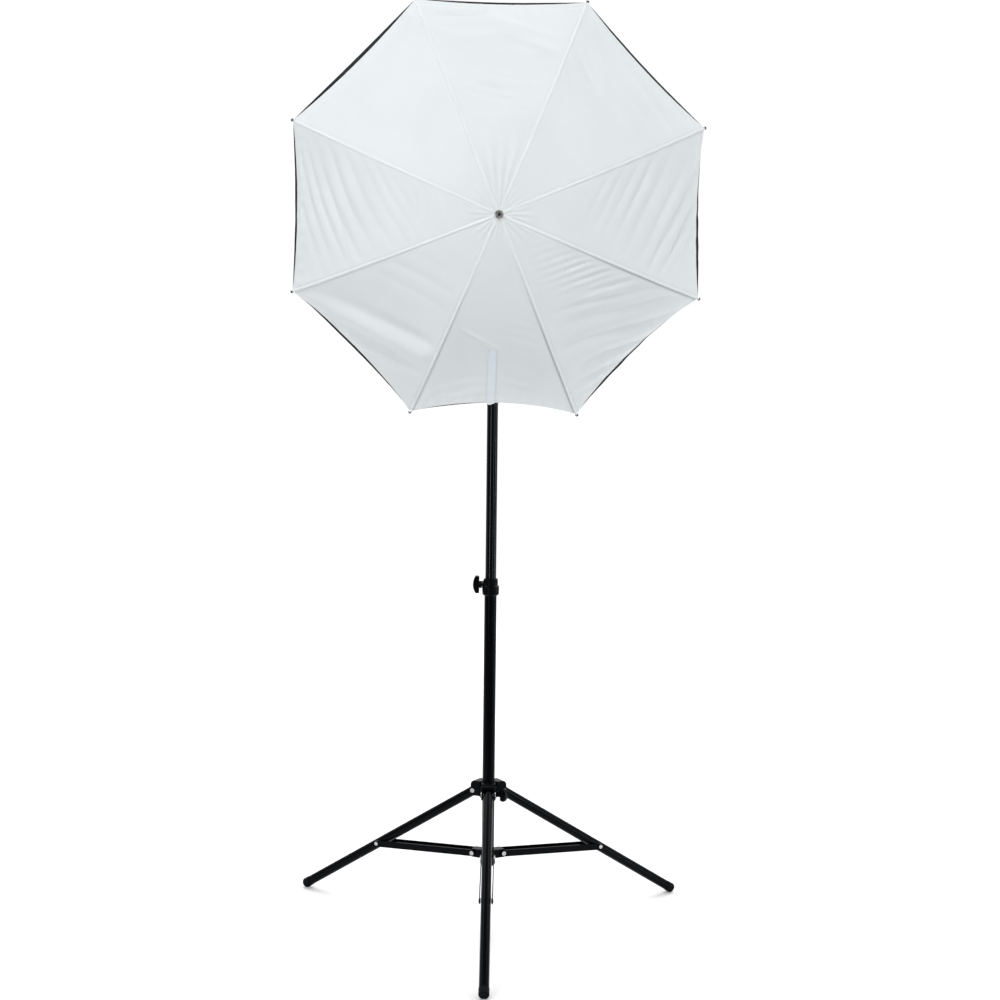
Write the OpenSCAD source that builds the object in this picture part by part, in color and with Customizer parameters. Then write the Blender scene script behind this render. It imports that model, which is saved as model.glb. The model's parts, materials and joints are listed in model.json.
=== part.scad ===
/* [Umbrella] */
// Shaft to rib tip, square to the shaft
rim_radius = 402; // [300:1:600]
// Apex to the plane of the rib tips, along the shaft
dome_depth = 190; // [120:1:260]
// How far each rim edge curves in from the straight line between its tips
scallop = 8; // [0:0.5:20]
// White fabric thickness
cover_thick = 0.8; // [0.4:0.1:1.5]
// Black fabric thickness
backing_thick = 0.6; // [0.4:0.1:1.5]
// Shaft diameter
shaft_d = 8; // [7:0.1:10]
// Shaft length behind the bracket
shaft_tail = 130; // [60:1:200]
// Rib rod diameter
rib_d = 3; // [2:0.1:4]
// Runner pin behind the apex, canopy open
runner_open = 150; // [110:1:180]

/* [Umbrella set] */
// Apex to the stand's axis, along the shaft
apex_reach = 505; // [495:1:560]
// Front-down tilt of the shaft
set_tilt = 3.2; // [-30:0.1:30]
// Turn of the bracket about the stand
set_pan = 0.85; // [-180:0.05:180]
// Roll of the canopy about its shaft
set_roll = 0.44; // [-22.5:0.01:22.5]

/* [Mast] */
// Base tube outer diameter
base_d = 25; // [22:0.5:30]
// Middle tube outer diameter
middle_d = 22; // [19:0.5:26]
// Top tube outer diameter
top_d = 19; // [16:0.5:22]
// Tube wall
wall = 1.2; // [1:0.1:2]
// Height of the first clamp's top
clamp_z = 710; // [500:1:900]
// Height of the second clamp's top
second_z = 1098; // [900:1:1250]
// Height of the tilt axis
tilt_z = 1425; // [1200:1:1800]

/* [Tripod] */
// Stand axis to the end of a leg
foot_radius = 455; // [350:1:600]
// Leg tube diameter
leg_d = 19.5; // [16:0.5:22]
// Stand axis to the leg pivots
pivot_r = 29.7; // [29:0.1:45]
// Height of the leg pivots
hub_z = 273.8; // [200:0.1:400]
// Height of the strut pivots
strut_z = 143; // [100:0.1:180]
// Share of the leg between its pivot and the strut rivet
rivet_share = 0.55; // [0.4:0.0005:0.7]
// Strut bar height
bar_h = 13.5; // [12:0.5:24]
// Strut bar thickness
bar_t = 2; // [1.5:0.1:3]
// Turn of the tripod about the mast
tripod_turn = -0.55; // [-60:0.05:60]

/* [Hidden] */
shaft_r = shaft_d / 2;
rib_r = rib_d / 2;
half = 22.5;
gap = 0.3;
fit = 0.05;
// canopy panels: a cylinder's surface across each panel, a circle's arc along each rib
mid_radius = rim_radius * cos(half);
panel_r = (pow(mid_radius, 2) + pow(dome_depth, 2)) / (2 * dome_depth);
panel_sweep = asin(mid_radius / panel_r) + 1;
rib_arc = (pow(rim_radius, 2) + pow(dome_depth, 2)) / (2 * dome_depth);
rib_in = 5;
rib_line = rib_arc - rib_in;
half_chord = rim_radius * sin(half);
scallop_r = (pow(half_chord, 2) + pow(scallop, 2)) / (2 * scallop);
scallop_at = mid_radius - scallop + scallop_r;
fabric_hole = shaft_r + 0.6;
backing_at = cover_thick + 0.5;
tip_r = rim_radius + 1;
rib_end = asin(rim_radius / rib_line);
rib_end_y = rib_arc - rib_line * cos(rib_end);
// fold linkage, in the plane of one rib: distance from the shaft, distance behind the apex
crown_pin = [10, 7.3];
joint_angle = 23.3;
joint_pin = [rib_line * sin(joint_angle), rib_arc - rib_line * cos(joint_angle)];
runner_pin = [11, runner_open];
stretch = joint_pin - runner_pin;
stretch_len = norm(stretch);
stretch_angle = atan2(-stretch[1], stretch[0]);
pin_r = 0.9;
eye_r = 2.6;
eye_t = 1.6;
slot_w = eye_t + 2 * gap;
shaft_lift = 29;
// legs and struts
foot_z = 6.3;
leg_drop = hub_z - foot_z;
leg_out = foot_radius - pivot_r;
leg_len = norm([leg_out, leg_drop]);
leg_angle = atan2(leg_out, leg_drop);
leg_r = leg_d / 2;
rivet_at = rivet_share * leg_len;
joint_r = pivot_r + rivet_at * sin(leg_angle);
joint_z = hub_z - rivet_at * cos(leg_angle);
strut_out = joint_r - pivot_r;
strut_rise = joint_z - strut_z;
strut_len = norm([strut_out, strut_rise]);
strut_angle = atan2(strut_rise, strut_out);
bar_in = leg_r + 1.8;
bar_out = bar_in + bar_t;
rivet_r = 2.5;
cap_r = leg_r + 0.5;
cap_len = 17;
plate_in = leg_r + 0.4;
plate_out = leg_r + 3.8;
// mast
base_r = base_d / 2;
middle_r = middle_d / 2;
top_r = top_d / 2;
base_bottom = 125;
base_top = clamp_z - 18;
middle_bottom = 470;
middle_top = second_z - 18;
top_bottom = 790;
top_end = tilt_z - 66;
spigot_r = 8;
spigot_len = 40;
front_end = (apex_reach + 4.4) * cos(set_tilt) + shaft_lift * sin(set_tilt);
back_end = foot_radius / 2 + cap_r * cos(leg_angle) / 2;
pole_y = (front_end - back_end) / 2;
$fn = 64;

black = [0.06, 0.065, 0.075];
plastic = [0.05, 0.05, 0.055];
steel = [0.72, 0.72, 0.73];
white = [0.93, 0.94, 0.95];

// places its child upright on the stand's axis
module at_pole() {
  translate([0, pole_y, 0]) children();
}

// azimuths on the tripod: 0 is its front leg, the leg towards +X is at 120
module at_azimuth(a) {
  at_pole() rotate([0, 0, a + tripod_turn - 90]) children();
}

// a cylinder along X from x0 to x1
module rod_x(r, x0, x1) {
  translate([x0, 0, 0]) rotate([0, 90, 0]) cylinder(r = r, h = x1 - x0);
}

// a cylinder along Y from y0 to y1
module rod_y(r, y0, y1) {
  translate([0, y0, 0]) rotate([-90, 0, 0]) cylinder(r = r, h = y1 - y0);
}

module tube(r, bore, z0, z1) {
  difference() {
    translate([0, 0, z0]) cylinder(r = r, h = z1 - z0);
    translate([0, 0, z0 - 1]) cylinder(r = bore, h = z1 - z0 + 2);
  }
}

// a T-shaped grip on a round stem along +X: bowed outer face and rounded ends
module t_grip(stem_r, x0, x1, x2, span, thick) {
  rod_x(stem_r, x0, x1 + 1);
  translate([0, thick / 2, 0]) rotate([90, 0, 0]) linear_extrude(thick) intersection() {
    translate([x1, -span / 2]) square([x2 - x1, span]);
    translate([x2 - span * 0.9, 0]) circle(r = span * 0.9);
    translate([(x1 + x2) / 2, 0]) circle(r = span / 2);
  }
}

// ---- tripod ----

module base_tube() {
  color(black) at_pole() tube(base_r, base_r - wall, base_bottom, base_top);
}

module lower_collar() {
  color(plastic) difference() {
    union() {
      at_pole() translate([0, 0, base_bottom - 4]) cylinder(r1 = base_r + 1.5, r2 = base_r + 3, h = 3);
      at_pole() translate([0, 0, base_bottom - 1]) cylinder(r = base_r + 3, h = strut_z + 9 - base_bottom);
      at_pole() translate([0, 0, strut_z + 8]) cylinder(r1 = base_r + 3, r2 = base_r + 1.5, h = 2);
      for (a = [0, 120, 240]) at_azimuth(a) {
        translate([0, plate_in, strut_z]) rotate([90, 0, 0]) linear_extrude(2 * plate_in) intersection() {
          translate([base_r, -8.5]) square([pivot_r + 7 - base_r, 17]);
          translate([pivot_r - 6, 0]) circle(r = 12.5);
        }
        translate([pivot_r, leg_r + 1.2, strut_z]) rotate([90, 0, 0]) cylinder(r = 5, h = leg_d + 2.4);
      }
    }
    at_pole() translate([0, 0, base_bottom]) cylinder(r = base_r, h = 60);
    for (a = [0, 120, 240]) at_azimuth(a)
      translate([pivot_r, leg_d, strut_z]) rotate([90, 0, 0]) cylinder(r = rivet_r, h = leg_d * 2);
  }
}

// a through rivet across a radial plane, heads outside the given half width
module rivet(r_at, z_at, reach) {
  translate([r_at, 0, z_at]) {
    rod_y(rivet_r, -reach, reach);
    for (s = [0, 1]) mirror([0, s, 0]) {
      difference() {
        rod_y(4.5, reach, reach + 1.4);
        rod_y(1.6, reach + 0.5, reach + 2);
      }
    }
  }
}

module lower_collar_rivets() {
  color(steel) for (a = [0, 120, 240]) at_azimuth(a) rivet(pivot_r, strut_z, bar_out + gap);
}

// outline of a hub ear: a plate with a rounded outer top corner
module ear_side() {
  translate([base_r, -4]) square([pivot_r + 4.5 - base_r, 16]);
  translate([base_r, 11]) square([pivot_r - 4.5 - base_r, 10]);
  translate([pivot_r - 4.5, 12]) circle(r = 9);
  translate([base_r, -10]) square([pivot_r - 1.5 - base_r, 7]);
  translate([pivot_r - 1.5, -4]) circle(r = 6);
}

// two plates, one each side of a leg's end, and the roof that joins them
module hub_ear() {
  for (s = [0, 1]) mirror([0, s, 0])
    translate([0, plate_out, hub_z]) rotate([90, 0, 0]) linear_extrude(plate_out - plate_in) ear_side();
  translate([0, plate_out, hub_z]) rotate([90, 0, 0]) linear_extrude(2 * plate_out) intersection() {
    ear_side();
    translate([base_r, 11.8]) square([40, 12]);
  }
}

module leg_collar() {
  color(plastic) difference() {
    union() {
      at_pole() translate([0, 0, hub_z - 18]) cylinder(r = base_r + 2.6, h = 38);
      at_pole() translate([0, 0, hub_z + 20]) cylinder(r1 = base_r + 2.6, r2 = base_r + 1.6, h = 2);
      at_pole() translate([0, 0, hub_z - 12]) cylinder(r = base_r + 5, h = 24);
      for (a = [0, 120, 240]) at_azimuth(a) hub_ear();
      at_azimuth(60) translate([0, 0, hub_z - 4]) rod_x(6.5, base_r, base_r + 7);
    }
    at_pole() translate([0, 0, hub_z - 30]) cylinder(r = base_r + fit, h = 60);
    for (a = [0, 120, 240]) at_azimuth(a)
      translate([pivot_r, leg_d, hub_z]) rotate([90, 0, 0]) cylinder(r = rivet_r, h = leg_d * 2);
    at_azimuth(60) translate([0, 0, hub_z - 4]) rod_x(3 + fit, base_r - 2, base_r + 9);
  }
}

module leg_collar_rivets() {
  color(steel) for (a = [0, 120, 240]) at_azimuth(a) rivet(pivot_r, hub_z, plate_out);
}

module leg_collar_knob() {
  color(plastic) at_azimuth(60) translate([0, 0, hub_z - 4]) {
    rod_x(3, base_r + gap, base_r + 8);
    t_grip(5.2, base_r + 7 + gap, base_r + 17, base_r + 30, 25, 9);
  }
}

module leg(a) {
  color(black) at_azimuth(a) translate([pivot_r, 0, hub_z]) rotate([0, 180 - leg_angle, 0]) difference() {
    translate([0, 0, -5]) cylinder(r = leg_r, h = leg_len + 5 - 4);
    translate([0, 0, 14]) cylinder(r = leg_r - wall, h = leg_len);
    translate([0, leg_d, 0]) rotate([90, 0, 0]) cylinder(r = rivet_r + fit, h = leg_d * 2);
  }
}

module foot(a) {
  color(plastic) intersection() {
    at_azimuth(a) translate([pivot_r, 0, hub_z]) rotate([0, 180 - leg_angle, 0]) difference() {
      union() {
        translate([0, 0, leg_len - cap_len]) cylinder(r = cap_r, h = cap_len - 3);
        translate([0, 0, leg_len - 3]) cylinder(r1 = cap_r, r2 = cap_r - 2, h = 3);
      }
      translate([0, 0, leg_len - cap_len - 1]) cylinder(r = leg_r, h = cap_len - 3);
    }
    translate([-800, -800, 0]) cube([1600, 1600, 200]);
  }
}

// a strut's frame: from its pivot on the lower collar towards its leg
module at_strut(a) {
  at_azimuth(a) translate([pivot_r, 0, strut_z]) rotate([0, -strut_angle, 0]) children();
}

module strut(a) {
  color(black) at_strut(a) for (s = [0, 1]) mirror([0, s, 0]) {
    translate([0, bar_out, 0]) rotate([90, 0, 0]) linear_extrude(bar_t) difference() {
      union() {
        translate([0, -bar_h / 2]) square([strut_len, bar_h]);
        circle(r = bar_h / 2);
        translate([strut_len, 0]) circle(r = bar_h / 2);
      }
      circle(r = rivet_r + fit);
      translate([strut_len, 0]) circle(r = 1.8);
    }
    translate([strut_len, 0, 0]) rod_y(5, leg_r + 0.5, bar_in);
  }
}

// the rivet heads at a strut's leg end, each with a shank in its bar
module strut_rivet(a) {
  color(steel) at_strut(a) translate([strut_len, 0, 0]) for (s = [0, 1]) mirror([0, s, 0]) {
    rod_y(1.8, bar_in, bar_out);
    difference() {
      rod_y(3.9, bar_out, bar_out + 1.3);
      rod_y(1.4, bar_out + 0.6, bar_out + 2);
    }
  }
}

module leg_a() { leg(0); }
module leg_b() { leg(120); }
module leg_c() { leg(240); }
module foot_a() { foot(0); }
module foot_b() { foot(120); }
module foot_c() { foot(240); }
module strut_a() { strut(0); }
module strut_b() { strut(120); }
module strut_c() { strut(240); }
module strut_a_rivet() { strut_rivet(0); }
module strut_b_rivet() { strut_rivet(120); }
module strut_c_rivet() { strut_rivet(240); }

// ---- mast ----

// a clamp casting on a tube of radius r, holding one of radius r_in: boss for the screw towards -X
module clamp_casting(r, r_in, z_top) {
  difference() {
    union() {
      translate([0, 0, z_top - 34]) cylinder(r1 = r + 1.5, r2 = r + 4.5, h = 3);
      translate([0, 0, z_top - 31]) cylinder(r = r + 4.5, h = 16);
      translate([0, 0, z_top - 15]) cylinder(r1 = r + 4.5, r2 = r + 2, h = 2);
      translate([0, 0, z_top - 13]) cylinder(r = r + 2, h = 12);
      translate([0, 0, z_top - 1]) cylinder(r1 = r + 2, r2 = r + 1.2, h = 1);
      translate([0, 0, z_top - 12]) rotate([0, 180, 0]) rod_x(7.5, r - 1, r + 4.5);
    }
    translate([0, 0, z_top - 60]) cylinder(r = r, h = 42);
    translate([0, 0, z_top - 20]) cylinder(r = r_in + gap, h = 30);
    translate([0, 0, z_top - 12]) rotate([0, 180, 0]) rod_x(3.5 + fit, r_in - 2, r + 9);
  }
}

module clamp_knob(r, r_in, z_top) {
  translate([0, 0, z_top - 12]) rotate([0, 180, 0]) {
    rod_x(3.5, r_in + gap, r + 5);
    t_grip(7.2, r + 4.5 + gap, r + 10.5, r + 23, 35, 11.5);
  }
}

module base_clamp() {
  color(plastic) at_pole() clamp_casting(base_r, middle_r, clamp_z);
}

module base_clamp_knob() {
  color(plastic) at_pole() clamp_knob(base_r, middle_r, clamp_z);
}

module middle_tube() {
  color(black) at_pole() tube(middle_r, middle_r - wall, middle_bottom, middle_top);
}

module top_clamp() {
  color(plastic) at_pole() clamp_casting(middle_r, top_r, second_z);
}

module top_clamp_knob() {
  color(plastic) at_pole() clamp_knob(middle_r, top_r, second_z);
}

module top_tube() {
  color(black) at_pole() tube(top_r, top_r - wall, top_bottom, top_end);
}

module spigot() {
  color(steel) at_pole() {
    translate([0, 0, top_end - 22]) cylinder(r = top_r - wall, h = 22);
    translate([0, 0, top_end]) cylinder(r = top_r + 1, h = 3);
    translate([0, 0, top_end + 3]) cylinder(r = spigot_r, h = 12);
    translate([0, 0, top_end + 15]) cylinder(r1 = spigot_r, r2 = 6.5, h = 2);
    translate([0, 0, top_end + 17]) cylinder(r = 6.5, h = 8);
    translate([0, 0, top_end + 25]) cylinder(r1 = 6.5, r2 = spigot_r, h = 2);
    translate([0, 0, top_end + 27]) cylinder(r = spigot_r, h = spigot_len - 25);
    translate([0, 0, top_end + 2 + spigot_len]) cylinder(r1 = spigot_r, r2 = spigot_r - 1, h = 1);
  }
}

// ---- bracket ----

// the head and the umbrella: tilt axis along X at the origin
module at_tilt() {
  translate([0, pole_y, tilt_z]) rotate([0, 0, set_pan]) rotate([set_tilt, 0, 0]) children();
}

module bracket_base() {
  socket_z = top_end + 3 + gap;
  color(black) translate([0, pole_y, 0]) rotate([0, 0, set_pan]) difference() {
    union() {
      translate([0, 0, socket_z]) cylinder(r1 = 14, r2 = 15, h = 1);
      translate([0, 0, socket_z + 1]) cylinder(r = 15, h = 39);
      translate([0, 0, socket_z + 40]) cylinder(r1 = 15, r2 = 12, h = 4.5);
      translate([-6, -12, socket_z + 40]) cube([12, 24, tilt_z - socket_z - 40]);
      translate([0, 0, tilt_z]) rod_x(14, -6, 6);
      translate([0, 0, tilt_z - 45]) rod_x(7, 10, 17);
    }
    translate([0, 0, socket_z - 1]) cylinder(r = spigot_r + fit, h = spigot_len + 1.5);
    translate([0, 0, tilt_z - 45]) rod_x(3 + fit, 4, 20);
    translate([0, 0, tilt_z]) rod_x(4 + fit, -8, 8);
  }
}

module socket_knob() {
  color(plastic) translate([0, pole_y, tilt_z - 45]) rotate([0, 0, set_pan]) {
    rod_x(3, 6.5 + gap, 18);
    t_grip(6, 17 + gap, 25, 37, 32, 10);
  }
}

module bracket_head() {
  color(black) at_tilt() difference() {
    union() {
      for (s = [0, 1]) mirror([s, 0, 0]) {
        rod_x(14, 6 + gap, 13.5);
        translate([6 + gap, -12, 0]) cube([7.5 - gap, 24, 16]);
      }
      translate([-15, -16, 15]) cube([30, 32, 26]);
      translate([0, 0, 41]) cylinder(r1 = 13, r2 = 12, h = 3);
      translate([0, 0, 44]) cylinder(r = 3.175, h = 12);
      translate([0, 0, shaft_lift]) rod_x(7, 15, 17);
    }
    rod_x(4 + fit, -20, 20);
    translate([0, 0, shaft_lift]) rod_y(shaft_r + fit, -20, 20);
    translate([0, 0, shaft_lift]) rod_x(2.5 + fit, 2, 20);
    for (y = [-16, 16]) translate([-20, y, 15]) rotate([45, 0, 0]) cube([40, 2.4, 2.4]);
  }
}

module tilt_knob() {
  color(plastic) at_tilt() rotate([0, 0, 180]) {
    rod_x(4, -16, 16);
    translate([-17.2, 0, 0]) rotate([0, 90, 0]) cylinder(r = 6.5, h = 3.4, $fn = 6);
    rod_x(9, 13.5 + gap, 19);
    t_grip(7, 17, 19, 31, 46, 12);
  }
}

module shaft_knob() {
  color(plastic) at_tilt() translate([0, 0, shaft_lift]) {
    rod_x(2.5, shaft_r + gap, 19);
    rod_x(5, 17 + gap, 19);
    difference() {
      rod_x(10, 19, 30);
      for (a = [0:60:300]) rotate([a, 0, 0]) translate([0, 0, 12.2]) rod_x(3.6, 18, 31);
    }
  }
}

// ---- umbrella ----

// apex at the origin, +Y is the way back along the shaft
module at_apex() {
  at_tilt() translate([0, -apex_reach, shaft_lift]) rotate([0, set_roll, 0]) children();
}

// rib n's own plane: +Z runs out from the shaft to its tip
module at_rib(n) {
  at_apex() rotate([0, half + 45 * (n - 1), 0]) children();
}

// an arc's plane about a centre behind the apex: angle 0 is towards the apex, growing outwards
module about(centre) {
  translate([0, centre, 0]) rotate([90, 0, 0]) rotate([0, -90, 0]) children();
}

// a plan outline in X and Z, carried back along the shaft
module along_shaft(y0, y1) {
  translate([0, y1, 0]) rotate([90, 0, 0]) linear_extrude(y1 - y0) children();
}

module shaft() {
  color(steel) at_apex() rod_y(shaft_r, -3, apex_reach + shaft_tail);
}

module shaft_cap() {
  color(plastic) at_apex() difference() {
    union() {
      rod_y(5.2, apex_reach + shaft_tail - 16, apex_reach + shaft_tail + 2);
      translate([0, apex_reach + shaft_tail + 2, 0]) sphere(r = 5.2);
    }
    rod_y(shaft_r, apex_reach + shaft_tail - 20, apex_reach + shaft_tail);
  }
}

module crown() {
  color(plastic) at_apex() {
    difference() {
      rod_y(13, 2.4, 12.4);
      rod_y(shaft_r, 0, 20);
      for (n = [1:8]) rotate([0, half + 45 * (n - 1), 0]) translate([-slot_w / 2, 0, 6.8]) cube([slot_w, 20, 10]);
    }
    for (n = [1:8]) rotate([0, half + 45 * (n - 1), 0])
      translate([0, crown_pin[1], crown_pin[0]]) rod_x(pin_r, -3, 3);
  }
}

module ferrule() {
  color(steel) at_apex() difference() {
    union() {
      rod_y(8, -2, -gap);
      translate([0, -2, 0]) rotate([90, 0, 0]) cylinder(r1 = 8, r2 = 6.4, h = 2.4);
    }
    rod_y(2.5, -6, -3);
    rod_y(shaft_r, -3, 1);
  }
}

module runner() {
  color(plastic) at_apex() {
    difference() {
      union() {
        rod_y(14, runner_open - 5, runner_open + 5);
        rod_y(8, runner_open + 4, runner_open + 38);
        rod_y(9.5, runner_open + 32, runner_open + 36);
      }
      rod_y(shaft_r + fit, runner_open - 10, runner_open + 50);
      for (n = [1:8]) rotate([0, half + 45 * (n - 1), 0])
        translate([-slot_w / 2, runner_open - 6, 7.8]) cube([slot_w, 12, 10]);
    }
    for (n = [1:8]) rotate([0, half + 45 * (n - 1), 0])
      translate([0, runner_pin[1], runner_pin[0]]) rod_x(pin_r, -3, 3);
  }
}

module rib(n) {
  root = 17;
  root_angle = asin(root / rib_line);
  color(steel) at_rib(n) {
    about(rib_arc) rotate([0, 0, root_angle]) rotate_extrude(angle = rib_end - root_angle, $fn = 256)
      translate([rib_line, 0]) circle(r = rib_r);
    difference() {
      union() {
        translate([0, crown_pin[1], crown_pin[0]]) rod_x(eye_r, -eye_t / 2, eye_t / 2);
        translate([-eye_t / 2, crown_pin[1] - 2.6, crown_pin[0]]) cube([eye_t, 3.4, 14]);
      }
      translate([0, crown_pin[1], crown_pin[0]]) rod_x(pin_r + fit, -2, 2);
    }
    translate([0, 0, rim_radius]) rod_y(rib_r, dome_depth + 1, rib_end_y + 0.5);
    translate([0, rib_end_y, rim_radius]) sphere(r = rib_r + 0.4);
    translate([0, dome_depth, tip_r]) sphere(r = 3.2);
  }
}

// a slotted bar from the runner to a fork that straddles the rib
module stretcher(n) {
  fork = 62;
  cheek = rib_r + 0.35;
  color(steel) at_rib(n) translate([0, runner_pin[1], runner_pin[0]]) rotate([stretch_angle, 0, 0]) {
    difference() {
      union() {
        rod_x(eye_r, -eye_t / 2, eye_t / 2);
        translate([-eye_t / 2, -2, 0]) cube([eye_t, 4, 14]);
      }
      rod_x(pin_r + fit, -2, 2);
    }
    translate([-cheek - 0.8, -2.2, 10]) cube([2 * cheek + 1.6, 4.4, stretch_len - fork - 10 + 1]);
    for (s = [0, 1]) mirror([s, 0, 0]) {
      translate([cheek, -2.2, stretch_len - fork]) cube([0.8, 4.4, fork]);
      translate([0, 0, stretch_len]) rod_x(2.2, cheek, cheek + 0.8);
      translate([0, 0, stretch_len]) rod_x(1.8, cheek + 0.7, cheek + 1.5);
    }
  }
}

// the part of a panel's surface shell between two depths below its outer face
module panel_shell(d0, d1) {
  about(panel_r) rotate_extrude(angle = panel_sweep, $fn = 256)
    translate([panel_r - d1, -half_chord - 4]) square([d1 - d0, 2 * half_chord + 8]);
}

module half_cover() {
  seam = 0.25;
  x0 = seam / sin(half);
  intersection() {
    rotate([0, half, 0]) panel_shell(0, cover_thick);
    along_shaft(-1, dome_depth + 8) difference() {
      polygon([[0, x0], [0, rim_radius + 6], [440 * sin(half), x0 + 440 * cos(half)]]);
      rotate(-half) translate([0, scallop_at]) circle(r = scallop_r, $fn = 256);
      circle(r = fabric_hole);
    }
  }
}

// the white fabric that one rib carries: half a panel on each side of it
module cover(n) {
  color(white) at_rib(n) {
    half_cover();
    mirror([1, 0, 0]) half_cover();
  }
}

module backing() {
  color(black) for (n = [1:8]) at_apex() rotate([0, 45 * n, 0]) intersection() {
    panel_shell(backing_at, backing_at + backing_thick);
    along_shaft(-1, dome_depth + 12) difference() {
      intersection() {
        polygon([[0, 0], [-440 * sin(half), 440 * cos(half)], [440 * sin(half), 440 * cos(half)]]);
        circle(r = rim_radius - 6.5);
      }
      translate([0, scallop_at + 2.5]) circle(r = scallop_r, $fn = 256);
      circle(r = fabric_hole);
    }
  }
}

module rib_1() { rib(1); }
module rib_2() { rib(2); }
module rib_3() { rib(3); }
module rib_4() { rib(4); }
module rib_5() { rib(5); }
module rib_6() { rib(6); }
module rib_7() { rib(7); }
module rib_8() { rib(8); }
module stretcher_1() { stretcher(1); }
module stretcher_2() { stretcher(2); }
module stretcher_3() { stretcher(3); }
module stretcher_4() { stretcher(4); }
module stretcher_5() { stretcher(5); }
module stretcher_6() { stretcher(6); }
module stretcher_7() { stretcher(7); }
module stretcher_8() { stretcher(8); }
module cover_1() { cover(1); }
module cover_2() { cover(2); }
module cover_3() { cover(3); }
module cover_4() { cover(4); }
module cover_5() { cover(5); }
module cover_6() { cover(6); }
module cover_7() { cover(7); }
module cover_8() { cover(8); }

base_tube();
lower_collar();
lower_collar_rivets();
base_clamp();
base_clamp_knob();
leg_collar();
leg_collar_rivets();
leg_collar_knob();
leg_a();
leg_b();
leg_c();
foot_a();
foot_b();
foot_c();
strut_a();
strut_b();
strut_c();
strut_a_rivet();
strut_b_rivet();
strut_c_rivet();
middle_tube();
top_clamp();
top_clamp_knob();
top_tube();
spigot();
bracket_base();
socket_knob();
bracket_head();
tilt_knob();
shaft_knob();
shaft();
shaft_cap();
crown();
ferrule();
runner();
rib_1();
rib_2();
rib_3();
rib_4();
rib_5();
rib_6();
rib_7();
rib_8();
stretcher_1();
stretcher_2();
stretcher_3();
stretcher_4();
stretcher_5();
stretcher_6();
stretcher_7();
stretcher_8();
cover_1();
cover_2();
cover_3();
cover_4();
cover_5();
cover_6();
cover_7();
cover_8();
backing();
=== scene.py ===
"""Looks for the umbrella reflector: sewn canopy, coated metal stand, floor, light and camera."""

import json
import math

import bpy
import numpy as np
from mathutils import Matrix, Vector


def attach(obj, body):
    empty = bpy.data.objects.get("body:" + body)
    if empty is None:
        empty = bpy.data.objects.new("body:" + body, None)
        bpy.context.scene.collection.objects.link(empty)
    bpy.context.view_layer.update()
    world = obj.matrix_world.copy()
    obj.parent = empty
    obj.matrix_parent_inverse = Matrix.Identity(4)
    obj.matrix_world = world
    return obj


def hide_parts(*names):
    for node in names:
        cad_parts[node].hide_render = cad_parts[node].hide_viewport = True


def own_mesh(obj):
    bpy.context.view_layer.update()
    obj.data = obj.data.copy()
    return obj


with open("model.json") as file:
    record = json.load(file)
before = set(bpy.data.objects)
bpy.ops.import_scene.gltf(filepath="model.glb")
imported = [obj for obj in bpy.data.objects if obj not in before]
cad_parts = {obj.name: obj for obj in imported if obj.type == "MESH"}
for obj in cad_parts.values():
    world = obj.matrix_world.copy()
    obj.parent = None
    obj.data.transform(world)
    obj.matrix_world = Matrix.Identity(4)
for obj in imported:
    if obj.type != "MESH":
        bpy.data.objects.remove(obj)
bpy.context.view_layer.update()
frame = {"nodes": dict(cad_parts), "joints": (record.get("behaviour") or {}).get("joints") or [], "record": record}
record = frame["record"]
joints = {j["name"]: j for j in frame["joints"]}

# ---- sizes of the canopy, metres ----
PANELS = 8
HALF = math.pi / PANELS
RIM = 0.402  # shaft to rib tip
DEPTH = 0.190  # apex to the plane of the rib tips
MID = RIM * math.cos(HALF)  # shaft to the straight line between two tips
CURVE = (MID**2 + DEPTH**2) / (2 * DEPTH)  # radius of a panel's bend
CROWN_BACK = 0.0073  # rib pins behind the apex
HOLE = 0.0052  # fabric edge round the shaft
HEM = 0.011
SEAM = 0.0023  # half width of the folded seam over a rib
LAYER = 0.0013  # white face to black face
THICK = 0.0004  # one layer of cloth
HOLLOW = 0.0046  # how far tension draws a panel in, half way between its ribs at the hem

# ---- the umbrella's own frame, from the rib hinges ----
pins = [Vector(joints[f"rib_{n}_hinge"]["pos_m"]) for n in range(1, PANELS + 1)]
back = Vector(joints["runner_slide"]["axis"]).normalized()
centre = sum(pins, Vector()) / PANELS
apex = centre - back * CROWN_BACK
rib_out = [(p - centre).normalized() for p in pins]
up = (rib_out[0] + rib_out[7]).normalized()
right = (rib_out[1] + rib_out[2]).normalized()
AXES = np.array([right, back, up], float)
ORIGIN = np.array(apex, float)


def to_row(local):
    """Points (right, back, up) in the umbrella's frame as row-frame points."""
    return ORIGIN + local @ AXES


# ---- the fabric's shape ----
# Panels run clockwise from the top one, seen from the front, and g is a panel's number, 0 to 7.
# On a panel p grows outwards from the shaft, and q clockwise from the panel's middle line.
# How far each panel's hem curves in from the straight line between its two rib tips
SCALLOP = [0.003, 0.004, 0.0045, 0.011, 0.0165, 0.0065, 0.004, 0.0035]
# How far the black layer's hem stands out past the white one, and where across the edge it does so most
PROUD = [0.0050, 0.0052, 0.0068, 0.0062, 0.0036, 0.0062, 0.0054, 0.0080]
PROUD_AT = [0.0, 0.0, 0.45, 0.35, 0.6, 0.1, 0.0, 0.0]
PROUD_WIDE = [1.6, 1.6, 0.7, 0.6, 0.5, 0.8, 1.6, 1.1]
# How strongly the groove beside each rib's seam shows towards its tip, on its two sides, both in its depth and in
# the painted shade along it: ribs 1 to 8
GROOVE_BEFORE = [0.0, 0.1, 0.1, 0.1, 0.8, 0.4, 0.1, 0.0]
GROOVE_AFTER = [0.1, 0.3, 1.0, 1.0, 0.1, 0.1, 0.0, 0.0]
GROOVE_AT = 0.0034  # from the middle of the rib
GROOVE_WIDE = 0.0021
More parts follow.
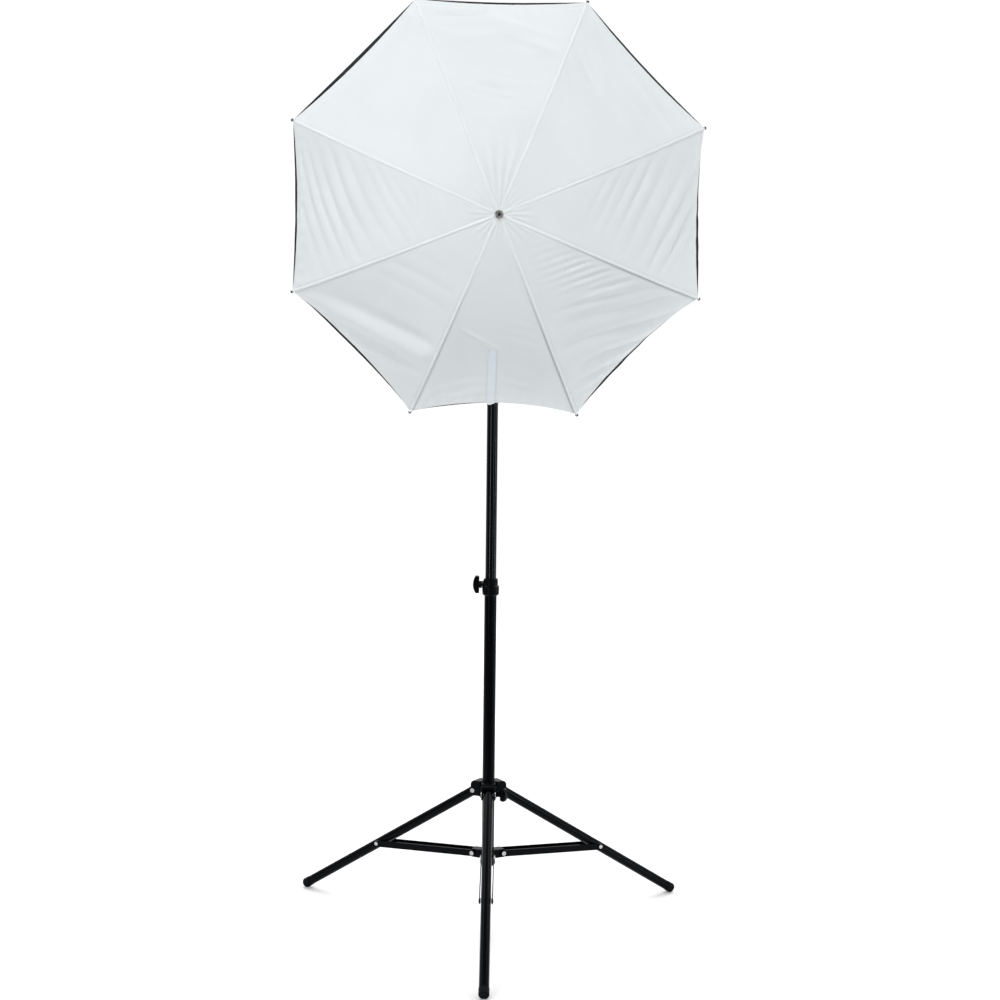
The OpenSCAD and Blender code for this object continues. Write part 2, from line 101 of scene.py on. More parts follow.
# How far the cloth turns in towards each panel's hem
DROOP = [0.0005, 0.0005, 0.0022, 0.0050, 0.0042, 0.0050, 0.0018, 0.0]


def bell(x, at, width):
    """1 at x = at, falling to 0 on both sides."""
    return np.exp(-(((x - at) / width) ** 2))


def rise(x, low, high):
    """0 below low, 1 above high, smooth between them."""
    t = np.clip((x - low) / (high - low), 0, 1)
    return t * t * (3 - 2 * t)


def creases(p, q, lean, pitch, seed, bow=0.0, fan=0.0):
    """A family of folds: crests run across the panel at dp/dq = lean, bowed, closing up towards one side."""
    u = (p - lean * q - bow * q * q) / (1 + fan * q)
    x = u / pitch + 0.3 * np.sin(31 * u + seed) + 0.05 * np.sin(38 * q + 2.1 * seed)
    strength = 0.72 + 0.28 * np.sin(2.2 * x + 1.3 * seed) * np.cos(17 * q + seed)
    crest = np.sin(2 * math.pi * x)
    return strength * (0.75 * crest - 0.55 * np.exp(3.0 * (-crest - 1)) + 0.2)


def ripple(p, q, seed):
    """Slow unevenness of a tensioned cloth, about +-1."""
    return (
        np.sin(41 * p + 23 * q + 1.7 * seed)
        + np.sin(-29 * p + 47 * q + 2.9 * seed)
        + 0.7 * np.sin(83 * p - 61 * q + 0.8 * seed)
        + 0.5 * np.sin(17 * p - 109 * q + 4.1 * seed)
    ) / 3.2


def ridge(p, q, at, lean, start, end, width, bow=0.0):
    """One fold from q = start to end, crest at p = at + lean * q, fading at both ends."""
    middle, reach = (start + end) / 2, abs(end - start) / 2
    return bell(p, at + lean * q + bow * (q - middle) ** 2, width) * np.exp(-(((q - middle) / reach) ** 4))


def folds(g, p, q):
    """Height of each panel's own wrinkles, outwards, metres."""
    h = 0.0006 * ripple(p, q, g + 1)
    if g == 0:  # top
        h = h - 0.0036 * ridge(p, q, 0.351, 0.05, -0.12, -0.03, 0.0040)
        h = h + 0.0036 * ridge(p, q, 0.336, -0.35, -0.02, 0.11, 0.009)
        h = h - 0.0036 * ridge(p, q, 0.318, -0.35, 0.0, 0.12, 0.010)
        h = h + 0.0040 * ridge(p, q, 0.305, 0.0, -0.12, 0.0, 0.010, 3.0)
        h = h + 0.0017 * creases(p, q, -0.12, 0.019, 1.0, 1.0) * bell(p, 0.23, 0.05) * bell(q, 0.01, 0.06)
        h = h - 0.0026 * ridge(p, q, 0.214, -0.25, -0.06, 0.05, 0.005)
    elif g == 1:  # upper right
        h = h + 0.0027 * creases(p, q, -0.22, 0.031, 0.4, 0.6) * bell(p, 0.30, 0.07) * bell(q, -0.065, 0.05)
        h = h + 0.0020 * creases(p, q, -0.1, 0.04, 2.4, -0.5) * bell(p, 0.31, 0.05) * bell(q, 0.05, 0.06)
    elif g == 2:  # right
        grow = rise(p, 0.07, 0.32)
        near = bell(q, -0.03 + 0.25 * (p - 0.25), 0.085)
        h = h + 0.0030 * creases(p, q, -0.5, 0.027, 0.9, -0.8) * grow * near
        h = h - 0.0030 * ridge(p, q, 0.318, -0.48, -0.03, 0.11, 0.005)
        h = h - 0.0026 * ridge(p, q, 0.352, -0.55, -0.03, 0.11, 0.005)
    elif g == 3:  # lower right
        near = bell(q, -0.045 - 0.25 * (p - 0.2), 0.05)
        h = h + 0.0017 * creases(p, q, -0.47, 0.0165, 1.7) * bell(p, 0.18, 0.08) * near
        h = h + 0.0036 * creases(p, q, -0.55, 0.034, 0.2, 0.6) * rise(p, 0.15, 0.30) * bell(q, -0.02, 0.12)
    elif g == 4:  # bottom
        h = h + 0.0011 * creases(p, q, -0.14, 0.0205, 0.6, 0.6) * bell(p, 0.27, 0.07) * bell(q, -0.055, 0.04)
        h = h + 0.0012 * creases(p, q, 0.16, 0.03, 2.2, 1.0) * bell(p, 0.33, 0.04) * bell(q, 0.06, 0.05)
        h = h + 0.0024 * ridge(p, q, 0.239, -0.53, 0.0, 0.062, 0.0036)
    elif g == 5:  # lower left
        h = h + 0.0085 * ridge(p, q, 0.308, 0.379, -0.12, 0.17, 0.0150)
        h = h - 0.0042 * ridge(p, q, 0.281, 0.36, -0.10, 0.14, 0.012)
        h = h - 0.0050 * ridge(p, q, 0.333, 0.32, -0.10, 0.13, 0.009)
        h = h + 0.0046 * ridge(p, q, 0.350, 0.36, -0.11, 0.04, 0.008)
        h = h + 0.0009 * creases(p, q, 0.3, 0.045, 1.0) * bell(p, 0.19, 0.06)
    elif g == 6:  # left
        tilt = 0.30 + 2.2 * np.clip(0.345 - p, -0.03, 0.16)
        grow = rise(p, 0.10, 0.32)
        h = h + 0.0027 * creases(p, q, tilt, 0.0262, 2.0) * grow * bell(q, 0.015, 0.095)
        h = h - 0.0017 * ridge(p, q, 0.292, 0.34, -0.08, 0.06, 0.0045)
        h = h + 0.0006 * creases(p, q, 0.12, 0.016, 0.3) * bell(p, 0.11, 0.05) * bell(q, 0.02, 0.02)
    else:  # upper left
        h = h + 0.0022 * creases(p, q, 0.16, 0.045, 0.6, 0.8) * bell(p, 0.32, 0.05) * bell(q, 0.05, 0.06)
    return h


def groove(g, p, q, from_rib):
    """0 to 1 along the crease beside a rib's seam: its depth, and the strength of the painted shade there."""
    strength = np.where(q > 0, GROOVE_BEFORE[g], GROOVE_AFTER[(g - 1) % PANELS])
    return strength * rise(p, 0.06, 0.26) * bell(from_rib, GROOVE_AT, GROOVE_WIDE)


def height(g, p, q, edge):
    """How far the cloth stands out from the plain panel at (p, q); edge is the distance in from the hem."""
    rib = p * math.tan(HALF)
    from_rib = (rib - np.abs(q)) * math.cos(HALF)
    across = np.clip(q / np.maximum(rib, 1e-6), -1, 1)
    span = np.clip(p / MID, 0, 1)
    free = rise(from_rib, 0.002, 0.022)
    h = -HOLLOW * span**1.6 * (1 - across**2)
    h = h + folds(g, p, q) * free * (1 - 0.8 * bell(edge, 0, 0.008))
    h = h - DROOP[g] * (1 - rise(edge, -0.03, 0.045)) ** 1.4 * (1 - across**6)
    # small gathers round the ferrule
    h = h + 0.0004 * np.sin(26 * np.arctan2(q, p) + g) * bell(p, 0.035, 0.022)
    if g == 0:
        h = h + 0.0008 * np.sin(34 * np.arctan2(q, p)) * bell(p, 0.09, 0.045)
    # a seam folded over each rib, with a crease beside it
    h = h + 0.0007 * bell(from_rib, 0, SEAM)
    h = h - 0.0011 * groove(g, p, q, from_rib)
    h = h - 0.0004 * bell(from_rib, SEAM + 0.0014, 0.0011)
    # a turned hem with its groove, puckered a little
    h = h + 0.0003 * (1 - rise(edge, HEM - 0.0015, HEM + 0.0015))
    h = h - 0.0002 * bell(edge, HEM + 0.0012, 0.0011)
    h = h + 0.0004 * np.sin(q * 260 + 2 * g) * bell(edge, HEM, 0.008)
    return h


def rim_at(g, slope, out):
    """p where the ray q = slope * p meets the panel's hem, moved out by out."""
    sag = SCALLOP[g]
    chord = RIM * math.sin(HALF)
    radius = (chord**2 + sag**2) / (2 * sag)
    at = MID - sag + radius
    a, b, c = 1 + slope**2, -2 * at, at**2 - radius**2
    return (-b - np.sqrt(b * b - 4 * a * c)) / (2 * a) + out


def outline(g, slope, black):
    """The hem's p along a ray, for the white or the black layer."""
    if not black:
        return rim_at(g, slope, 0.0)
    share = slope / math.tan(HALF)
    lens = np.clip(1 - share**4, 0, 1) ** 0.6 * (0.2 + 0.8 * bell(share, PROUD_AT[g], PROUD_WIDE[g]))
    return rim_at(g, slope, PROUD[g] * lens + 0.0001)


def placed(g, p, q, edge, lift):
    """Umbrella-frame points at (p, q) on panel g, lift metres out from the cloth."""
    h = height(g, p, q, edge) + lift
    w = CURVE - np.sqrt(CURVE**2 - p**2)
    bend = p / np.sqrt(CURVE**2 - p**2)
    length = np.sqrt(1 + bend**2)
    turn = g * 2 * HALF
    out = p + h * bend / length
    x = out * math.sin(turn) + q * math.cos(turn)
    z = out * math.cos(turn) - q * math.sin(turn)
    return np.stack([x, w - h / length, z], -1)


def surface(g, s, slope, black, depth=0.0):
    """Points of panel g at share s of the way out along the ray q = slope * p."""
    p = HOLE + (outline(g, slope, black) - HOLE) * s
    edge = np.maximum(outline(g, slope, False) - p, 0)
    return placed(g, p, slope * p, edge, -(LAYER if black else 0.0) - depth)


ROWS = 120  # of a sector's grid, from shaft to hem
ACROSS = 50  # columns from a rib to mid panel
NEARBY = 2e-4  # step between the points that a slope is measured from


def shares():
    """Rows from shaft to hem, closer at both ends."""
    t = np.linspace(0, 1, ROWS)
    return t - 0.066 / math.pi * np.sin(2 * math.pi * t)


def steps():
    """Columns from a rib to mid panel, close together at the rib's seam: 0 at the rib, 1 at mid panel."""
    t = np.linspace(0, 1, ACROSS)
    return 0.26 * t + 0.74 * t**1.9


def grid_of(n, black, depth):
    """Rib n's sector as (rows, columns) arrays: points, normals, distances from rib and hem, p, q, groove."""
    s = shares()[:, None]
    k = math.tan(HALF)
    parts = []
    for g, side in (((n - 1) % PANELS, 1), (n % PANELS, -1)):
        slope = side * k * (1 - steps())[None, :]
        here = surface(g, s, slope, black, depth)
        farther = surface(g, np.minimum(s + NEARBY, 1 + 1e-9), slope, black, depth)
        nearer = surface(g, s - NEARBY, slope, black, depth)
        onward = surface(g, s, slope + NEARBY, black, depth)
        behind = surface(g, s, slope - NEARBY, black, depth)
        normal = np.cross(onward - behind, farther - nearer)
        normal /= np.linalg.norm(normal, axis=-1, keepdims=True)
        rim = outline(g, slope, black)
        p = HOLE + (rim - HOLE) * s
        from_rib = (p * k - np.abs(slope) * p) * math.cos(HALF)
        edge = (rim - p) + 0 * slope
        # dark: how strongly painted shade darkens the cloth in the crease beside the seam
        dark = groove(g, p, slope * p, from_rib)
        parts.append((here, normal, side * from_rib, edge, p + 0 * slope, slope * p, dark))
    first, second = parts
    # the first panel lies on the anticlockwise side of the rib, the second on its clockwise side
    joined = []
    for a, b in zip(first, second):
        joined.append(np.concatenate([a[:, ::-1], b[:, 1:]], 1))
    seam = len(steps()) - 1
    both = first[1][:, 0] + second[1][:, 0]
    joined[1][:, seam] = both / np.linalg.norm(both, axis=-1, keepdims=True)
    return joined


def closed_cloth(name, face, normal, inner, carried):
    """A thin closed mesh from two (rows, columns) grids of points, with its own normals and distances."""
    rows, cols = face.shape[:2]
    local = np.concatenate([face.reshape(-1, 3), inner.reshape(-1, 3)])
    normals = np.concatenate([normal.reshape(-1, 3), -normal.reshape(-1, 3)])
    index = np.arange(rows * cols).reshape(rows, cols)
    quads = np.stack([index[:-1, :-1], index[:-1, 1:], index[1:, 1:], index[1:, :-1]], -1).reshape(-1, 4)
    under = quads[:, ::-1] + rows * cols
    ring = np.concatenate([index[0, :-1], index[:-1, -1], index[-1, :0:-1], index[:0:-1, 0]])
    after = np.roll(ring, -1)
    wall = np.stack([after, ring, ring + rows * cols, after + rows * cols], -1)
    faces = np.concatenate([quads, under, wall])
    mesh = bpy.data.meshes.new(name)
    mesh.from_pydata(to_row(local).tolist(), [], faces.tolist())
    for label, values in carried.items():
        layer = mesh.attributes.new(label, "FLOAT", "POINT")
        layer.data.foreach_set("value", np.tile(values.reshape(-1), 2).astype(np.float32))
    mesh.polygons.foreach_set("use_smooth", np.ones(len(mesh.polygons), bool))
    mesh.update()
    mesh.normals_split_custom_set_from_vertices((normals @ AXES).tolist())
    piece = bpy.data.objects.new(name, mesh)
    bpy.context.scene.collection.objects.link(piece)
    return piece


def sector(name, n, black):
    """The cloth that rib n carries, mid panel to mid panel."""
    face, normal, from_rib, edge, p, q, dark = grid_of(n, black, 0.0)
    inner = grid_of(n, black, THICK)[0]
    carried = {"rib_dist": from_rib, "hem_dist": edge, "out_dist": p, "side_dist": q, "crease": dark}
    return closed_cloth(name, face, normal, inner, carried)


# The flap over the slit in the bottom panel, in that panel's p and q
FLAP_PANEL = 4
FLAP_FROM = 0.242  # p of its upper end
FLAP_LEFT = -0.0022  # q of its first edge
FLAP_WIDTH = 0.0155
FLAP_POINT = 0.7  # where across its end the lowest point is
FLAP_OVER = 0.0045  # how far that point hangs past the hem
FLAP_PEAK = 0.006  # height of its pointed top
FLAP_GAP = 0.0002  # underside to panel


def flap(name):
    """A narrow doubled strip from mid panel to the hem, with a pointed top and a slanting end."""
    across = np.linspace(0, 1, 13)[None, :]
    along = np.linspace(0, 1, 50)[:, None]
    slant = np.where(across < FLAP_POINT, across / FLAP_POINT, (1 - across) / (1 - FLAP_POINT))
    start = FLAP_FROM + FLAP_PEAK * np.abs(2 * across - 1)
    rim = rim_at(FLAP_PANEL, 0.0, 0.0)
    p = start + (rim + FLAP_OVER * slant - start) * along
    inside = FLAP_WIDTH * across + 0 * p
    q = FLAP_LEFT + inside
    rounded = 1 - np.abs(2 * across - 1) ** 4
    lift = 0.0003 + (0.0004 + 0.0008 * rounded) * rise(p, FLAP_FROM, FLAP_FROM + 0.012)
    edge = np.maximum(rim - p, 0)

    def at(p, q, lift):
        return placed(FLAP_PANEL, p, q, edge, lift)

    onward = at(p, q + NEARBY, lift) - at(p, q - NEARBY, lift)
    outward = at(p + NEARBY, q, lift) - at(p - NEARBY, q, lift)
    normal = np.cross(onward, outward)
    normal /= np.linalg.norm(normal, axis=-1, keepdims=True)
    side = np.minimum(np.minimum(inside, FLAP_WIDTH - inside), 0.0005)
    carried = {"rib_dist": side, "hem_dist": edge + 0.02, "out_dist": p, "side_dist": q, "crease": 0 * p}
    return closed_cloth(name, at(p, q, lift), normal, at(p, q, FLAP_GAP + 0 * lift), carried)


# ---- materials ----
def new_material(name):
    """A material with its node tree and its shader."""
    material = bpy.data.materials.new(name)
    material.use_nodes = True
    tree = material.node_tree
    shader = next(n for n in tree.nodes if n.type == "BSDF_PRINCIPLED")
    return material, tree, shader


def maths(tree, operation, a, b=None, clamp=False):
    """One math node on numbers or sockets."""
    made = tree.nodes.new("ShaderNodeMath")
    made.operation = operation
    made.use_clamp = clamp
    for slot, value in zip(made.inputs, (a, b)):
        if value is None:
            continue
        if isinstance(value, (int, float)):
            slot.default_value = value
        else:
            tree.links.new(value, slot)
    return made.outputs[0]


def blend_colour(tree, share, a, b):
    """a where share is 0, b where it is 1."""
    made = tree.nodes.new("ShaderNodeMix")
    made.data_type = "RGBA"
    for slot, value in ((made.inputs[0], share), (made.inputs[6], a), (made.inputs[7], b)):
        if isinstance(value, tuple):
            slot.default_value = (*value, 1)
        else:
            tree.links.new(value, slot)
    return made.outputs[2]


def noise(tree, scale, detail=3.0, stretch=(1, 1, 1), distortion=0.0):
    """Noise in the object's own metres."""
    where = tree.nodes.new("ShaderNodeTexCoord").outputs["Object"]
    mapped = tree.nodes.new("ShaderNodeMapping")
    mapped.inputs["Scale"].default_value = stretch
    tree.links.new(where, mapped.inputs["Vector"])
    made = tree.nodes.new("ShaderNodeTexNoise")
    made.inputs["Scale"].default_value = scale
    made.inputs["Detail"].default_value = detail
    made.inputs["Distortion"].default_value = distortion
    tree.links.new(mapped.outputs[0], made.inputs["Vector"])
    return made.outputs["Fac"]


def ramp(tree, source, low, high):
    """Noise's middle range spread out from low to high."""
    made = tree.nodes.new("ShaderNodeMapRange")
    made.inputs["To Min"].default_value = low
    made.inputs["To Max"].default_value = high
    made.inputs["From Min"].default_value = 0.3
    made.inputs["From Max"].default_value = 0.7
    tree.links.new(source, made.inputs["Value"])
    return made.outputs[0]


def bump(tree, shader, source, strength, distance):
    made = tree.nodes.new("ShaderNodeBump")
    made.inputs["Strength"].default_value = strength
    made.inputs["Distance"].default_value = distance
    tree.links.new(source, made.inputs["Height"])
    tree.links.new(made.outputs[0], shader.inputs["Normal"])


def attribute(tree, name):
    made = tree.nodes.new("ShaderNodeAttribute")
    made.attribute_name = name
    return made.outputs["Fac"]


COAT_TINT = (0.78, 0.87, 1.0, 1)  # glints on the black coats are a little blue


def coated(name, colour, edge_colour, roughness, grain, grain_size, shine, spread=0.06):
    """Paint or moulded plastic: fine grain, uneven sheen and faint handling marks."""
    material, tree, shader = new_material(name)
    shader.inputs["Specular IOR Level"].default_value = shine
    shader.inputs["Specular Tint"].default_value = COAT_TINT
    marks = noise(tree, 38, 5, distortion=0.6)
    shade = blend_colour(tree, ramp(tree, marks, 0, 1), colour, edge_colour)
    tree.links.new(shade, shader.inputs["Base Color"])
    rough = ramp(tree, noise(tree, 120, 3), roughness - spread, roughness + spread)
    tree.links.new(rough, shader.inputs["Roughness"])
    bump(tree, shader, noise(tree, grain_size, 2), grain, 0.0002)
    return material


def metal(name, colour, dull, roughness, stretch):
    """Drawn or turned metal, with streaks along its length."""
    material, tree, shader = new_material(name)
    shader.inputs["Metallic"].default_value = 1.0
    streaks = noise(tree, 260, 2, stretch)
    tree.links.new(blend_colour(tree, ramp(tree, streaks, 0, 1), dull, colour), shader.inputs["Base Color"])
    tree.links.new(ramp(tree, streaks, roughness - 0.05, roughness + 0.07), shader.inputs["Roughness"])
    bump(tree, shader, streaks, 0.12, 0.0001)
    return material


def cap_or_shade_end(material, test, reach, cap_or_shade_colour):
    """Turns the metal dark and dull where its distance from the apex is GREATER_THAN or LESS_THAN reach."""
    tree = material.node_tree
    shader = next(n for n in tree.nodes if n.type == "BSDF_PRINCIPLED")
    away = tree.nodes.new("ShaderNodeVectorMath")
    away.operation = "DISTANCE"
    tree.links.new(tree.nodes.new("ShaderNodeTexCoord").outputs["Object"], away.inputs[0])
    away.inputs[1].default_value = apex
    cap_or_shade = maths(tree, test, away.outputs["Value"], reach)
    colour = shader.inputs["Base Color"].links[0].from_socket
    tree.links.new(blend_colour(tree, cap_or_shade, colour, cap_or_shade_colour), shader.inputs["Base Color"])
    tree.links.new(maths(tree, "SUBTRACT", 1.0, cap_or_shade), shader.inputs["Metallic"])
    return material


THREAD_PITCH = 0.0011
STITCH_PITCH = 0.0032
STITCH_HALF_WIDTH = 0.00035


def cloth(name, colour, shade, thread, crease_shade_colour, sheen):
    """Woven canopy cloth with stitched seams and hem, drawn from distances carried on the mesh."""
    material, tree, shader = new_material(name)
    rib = attribute(tree, "rib_dist")
    hem = attribute(tree, "hem_dist")
    out = attribute(tree, "out_dist")
    side = attribute(tree, "side_dist")
    warp = maths(tree, "SINE", maths(tree, "MULTIPLY", side, 2 * math.pi / THREAD_PITCH))
    weft = maths(tree, "SINE", maths(tree, "MULTIPLY", out, 2 * math.pi / THREAD_PITCH))
    weave = maths(tree, "ADD", maths(tree, "MULTIPLY", warp, weft), maths(tree, "MULTIPLY", weft, 0.4))

    def stitches(distance, at, along):
        away = maths(tree, "ABSOLUTE", maths(tree, "SUBTRACT", distance, at))
        line = maths(tree, "LESS_THAN", away, STITCH_HALF_WIDTH)
        place = maths(tree, "FRACT", maths(tree, "MULTIPLY", along, 1 / STITCH_PITCH))
        dash = maths(tree, "LESS_THAN", place, 0.66)
        return maths(tree, "MULTIPLY", line, dash)

    sewn = maths(
        tree,
        "MAXIMUM",
        stitches(maths(tree, "ABSOLUTE", rib), SEAM - 0.0009, out),
        stitches(hem, HEM - 0.0012, side),
    )
    uneven = ramp(tree, noise(tree, 9, 4, distortion=0.4), 0, 1)
    base = blend_colour(tree, uneven, colour, shade)
    # doubled cloth lets less light through, so it is brighter; the creases beside the seams get painted shade
    doubled = tree.nodes.new("ShaderNodeMapRange")
    doubled.inputs["From Min"].default_value = SEAM + 0.0006
    doubled.inputs["From Max"].default_value = SEAM - 0.0006
    tree.links.new(maths(tree, "ABSOLUTE", rib), doubled.inputs["Value"])
    base = blend_colour(tree, maths(tree, "MULTIPLY", doubled.outputs[0], 0.22), base, thread)
    # painted shade: the cloth turns towards the crease colour where the groove beside a seam is strong
    crease = maths(tree, "MULTIPLY", attribute(tree, "crease"), 0.75, clamp=True)
    base = blend_colour(tree, crease, base, crease_shade_colour)
    tree.links.new(blend_colour(tree, sewn, base, thread), shader.inputs["Base Color"])
    shader.inputs["Roughness"].default_value = 0.78
    shader.inputs["Sheen Weight"].default_value = sheen
    shader.inputs["Sheen Roughness"].default_value = 0.45
    shader.inputs["Specular IOR Level"].default_value = 0.25
    relief = maths(tree, "ADD", maths(tree, "MULTIPLY", weave, 0.25), maths(tree, "MULTIPLY", sewn, 1.6))
    bump(tree, shader, relief, 0.25, 0.00012)
    return material


# bright colour, dull colour, roughness, and the streaks' stretch
STEEL = ((0.72, 0.72, 0.73), (0.55, 0.55, 0.56), 0.22, (1, 1, 1))
# each coat: its colour, and the colour of its faint marks
TUBE_COAT = ((0.0002, 0.0002, 0.0005), (0.0007, 0.0007, 0.0012))
SLIDING_COAT = ((0.0002, 0.0002, 0.0006), (0.0007, 0.0007, 0.0013))
MOULDED = ((0.001, 0.001, 0.0012), (0.0026, 0.0026, 0.003))
RUBBER = ((0.003, 0.003, 0.0033), (0.006, 0.006, 0.0065))
POWDER = ((0.004, 0.004, 0.0045), (0.008, 0.008, 0.0085))
# each cloth: its colour, its shade, doubled cloth and thread, painted shade in creases
WHITE_CLOTH = ((0.795, 0.832, 0.85), (0.765, 0.807, 0.825), (0.90, 0.92, 0.93), (0.36, 0.39, 0.40))
BLACK_CLOTH = ((0.005, 0.005, 0.006), (0.009, 0.009, 0.010), (0.02, 0.02, 0.021), (0.002, 0.002, 0.002))
# the flap's cloth is the white cloth made lighter and bluer: painted light, as if the flap were lit from another
# side
FLAP_CLOTH_PAINTED_LIT = ((0.77, 0.84, 0.91), (0.74, 0.815, 0.89), (0.88, 0.91, 0.94), (0.36, 0.39, 0.41))
MATERIALS = {
    "black_tube": coated("black_coat", *TUBE_COAT, 0.14, 0.03, 900, 0.07, 0.02),
    "black_plastic": coated("moulded_black", *MOULDED, 0.3, 0.25, 1400, 0.06),
    "black_rubber": coated("foot_rubber", *RUBBER, 0.6, 0.35, 1100, 0.06),
    "black_casting": coated("powder_black", *POWDER, 0.42, 0.4, 1600, 0.08),
    "rivet_steel": metal("rivet_steel", (0.62, 0.62, 0.61), (0.42, 0.42, 0.42), 0.3, (1, 1, 1)),
    "frame_steel": metal("plated_steel", *STEEL),
    "spigot_alloy": metal("spigot_alloy", (0.75, 0.75, 0.76), (0.6, 0.6, 0.61), 0.28, (1, 1, 0.1)),
    "ferrule_metal": metal("ferrule_metal", (0.66, 0.67, 0.61), (0.40, 0.41, 0.37), 0.24, (1, 1, 1)),
    "white_fabric": cloth("white_cloth", *WHITE_CLOTH, 0.12),
    "black_fabric": cloth("black_cloth", *BLACK_CLOTH, 0.06),
}

slot_of = {s["node"]: s["material_slot"] for s in record["subparts"]}
for name, obj in frame["nodes"].items():
    obj.data.materials.clear()
    obj.data.materials.append(MATERIALS[slot_of[name]])

# dark caps on the rib tips, and painted shade in the bore at the shaft's front end
TIP_REACH = math.hypot(RIM, DEPTH) - 0.0005
BORE_SHADE_REACH = 0.006
rib_metal = cap_or_shade_end(metal("rib_steel", *STEEL), "GREATER_THAN", TIP_REACH, (0.02, 0.02, 0.02))
# painted shade: the shaft's front end turns near black to stand for the shade inside the ferrule's bore
shaft_metal_bore_shade = cap_or_shade_end(metal("shaft_steel_bore_shade", *STEEL), "LESS_THAN", BORE_SHADE_REACH, (0.002, 0.002, 0.002))
frame["nodes"]["shaft"].data.materials[0] = shaft_metal_bore_shade
for n in range(1, PANELS + 1):
    frame["nodes"][f"rib_{n}"].data.materials[0] = rib_metal
# the sliding tubes keep a higher polish than the lowest one
gloss = coated("polished_coat", *SLIDING_COAT, 0.13, 0.02, 900, 0.2, 0.02)
for name in ("middle_tube", "top_tube"):
    frame["nodes"][name].data.materials[0] = gloss

# ---- canopy pieces ----
for n in range(1, PANELS + 1):
    for layer, black in (("cover", False), ("lining", True)):
        piece = sector(f"{layer}_cloth_{n}", n, black)
        slot = "black_fabric" if black else "white_fabric"
        piece.data.materials.append(MATERIALS[slot])
        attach(piece, f"rib_{n}")
        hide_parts("backing" if black else f"cover_{n}")
        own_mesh(piece)

piece = flap("slit_flap")
# painted light: the flap takes the lighter, bluer copy of the white cloth
piece.data.materials.append(cloth("flap_cloth_painted_lit", *FLAP_CLOTH_PAINTED_LIT, 0.12))
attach(piece, "rib_5")
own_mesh(piece)

# ---- floor, light and camera ----
floor_mesh = bpy.data.meshes.new("floor")
REACH = 14.0
FAR = 4.4  # the floor ends where the wash makes it as white as what is behind it
GREY_BEFORE = -1.1  # y: the floor is grey nearer the camera than this
PALE_BEYOND = -0.45  # y: and pale farther away than this
corners = [(-REACH, -REACH, 0), (REACH, -REACH, 0), (REACH, FAR, 0), (-REACH, FAR, 0)]
floor_mesh.from_pydata(corners, [], [(0, 1, 2, 3)])
floor = bpy.data.objects.new("floor", floor_mesh)
bpy.context.scene.collection.objects.link(floor)
floor_material, tree, shader = new_material("pale_floor")
tone = blend_colour(tree, ramp(tree, noise(tree, 3, 4), 0, 1), (0.86, 0.86, 0.86), (0.88, 0.88, 0.88))
# the paper is greyer in front of the stand, so that it throws less light up under the canopy
place = tree.nodes.new("ShaderNodeSeparateXYZ")
tree.links.new(tree.nodes.new("ShaderNodeTexCoord").outputs["Object"], place.inputs[0])
paler = tree.nodes.new("ShaderNodeMapRange")
paler.interpolation_type = "SMOOTHSTEP"
paler.inputs["From Min"].default_value = GREY_BEFORE
paler.inputs["From Max"].default_value = PALE_BEYOND
tree.links.new(place.outputs["Y"], paler.inputs["Value"])
tree.links.new(blend_colour(tree, paler.outputs[0], (0.26, 0.26, 0.26), tone), shader.inputs["Base Color"])
shader.inputs["Roughness"].default_value = 0.9
floor_mesh.materials.append(floor_material)

world = bpy.data.worlds.new("studio")
world.use_nodes = True
bpy.context.scene.world = world
tree = world.node_tree
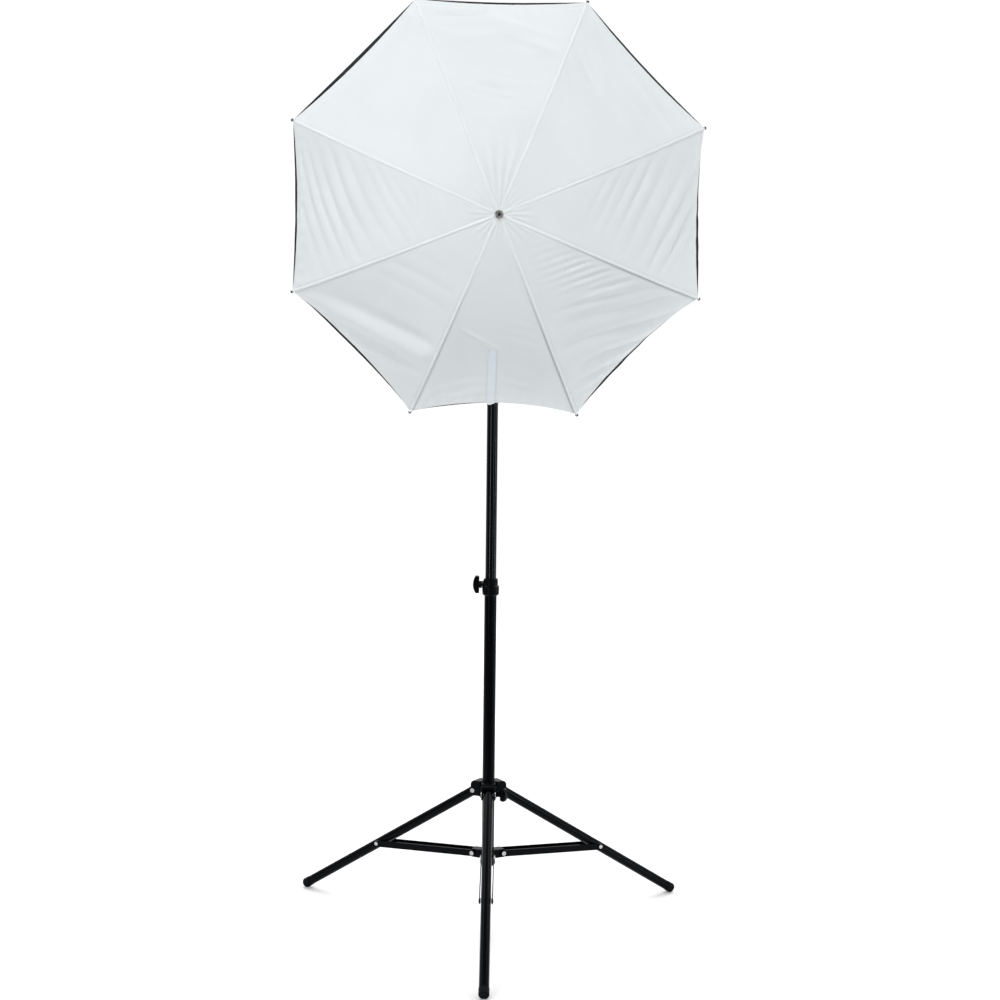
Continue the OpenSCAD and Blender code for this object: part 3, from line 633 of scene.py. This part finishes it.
# white behind the stand, dimmer in front of it, so that the strips draw lines on the tubes
direction = tree.nodes.new("ShaderNodeTexCoord").outputs["Generated"]
split = tree.nodes.new("ShaderNodeSeparateXYZ")
tree.links.new(direction, split.inputs[0])
front = tree.nodes.new("ShaderNodeMapRange")
front.interpolation_type = "SMOOTHSTEP"
tree.links.new(split.outputs["Y"], front.inputs["Value"])
for key, value in (("From Min", 0.08), ("From Max", 0.65), ("To Min", 0.39), ("To Max", 1.05)):
    front.inputs[key].default_value = value
tree.links.new(front.outputs[0], tree.nodes["Background"].inputs["Strength"])
tree.nodes["Background"].inputs["Color"].default_value = (1, 1, 1, 1)


def softbox(name, at, aim, size, power, spread=180):
    """A rectangular light at a place, aimed at a point; size in metres, power in watts, spread in degrees."""
    data = bpy.data.lights.new(name, "AREA")
    data.shape = "RECTANGLE"
    data.size, data.size_y = size
    data.energy = power
    data.spread = math.radians(spread)
    lamp = bpy.data.objects.new(name, data)
    lamp.location = at
    lamp.rotation_euler = (Vector(aim) - Vector(at)).to_track_quat("-Z", "Y").to_euler()
    bpy.context.scene.collection.objects.link(lamp)


softbox("left_strip", (-1.7, -2.9, 1.5), (0, 0, 1.3), (0.35, 2.8), 37)
softbox("right_strip", (2.7, -0.35, 1.3), (0, 0, 1.2), (0.16, 2.6), 20)
softbox("low_strip", (1.9, -2.3, 0.55), (0, 0, 0.5), (0.25, 0.9), 5)
softbox("key", (-0.15, -2.8, 4.2), (-0.05, -0.25, 1.57), (0.9, 0.9), 4.6, 50)
softbox("floor_wash", (0, 3.3, 3.2), (0, 2.9, 0), (6.0, 5.0), 225)

# camera: distance, height, pitch, roll, focal length and sideways shift, from the photograph's perspective
VIEW_BACK = 4.200
VIEW_HEIGHT = 1.3607
PITCH = 0.1166
ROLL = 0.0109
LENS = 76.19
SHIFT = 0.0084
look = Vector((0, math.cos(PITCH), -math.sin(PITCH)))
level = Vector((1, 0, 0))
above = level.cross(look)
cam_x = level * math.cos(ROLL) + above * math.sin(ROLL)
cam_y = above * math.cos(ROLL) - level * math.sin(ROLL)
data = bpy.data.cameras.new("camera")
data.lens = LENS
data.sensor_width = 36.0
data.shift_x = SHIFT
camera = bpy.data.objects.new("camera", data)
turn = Matrix((cam_x, cam_y, -look)).transposed().to_4x4()
mast = Vector(joints["bracket_pan"]["pos_m"])
camera.matrix_world = Matrix.Translation((0, mast.y - VIEW_BACK, VIEW_HEIGHT)) @ turn
bpy.context.scene.collection.objects.link(camera)
bpy.context.scene.camera = camera
bpy.context.scene.view_settings.view_transform = "Standard"
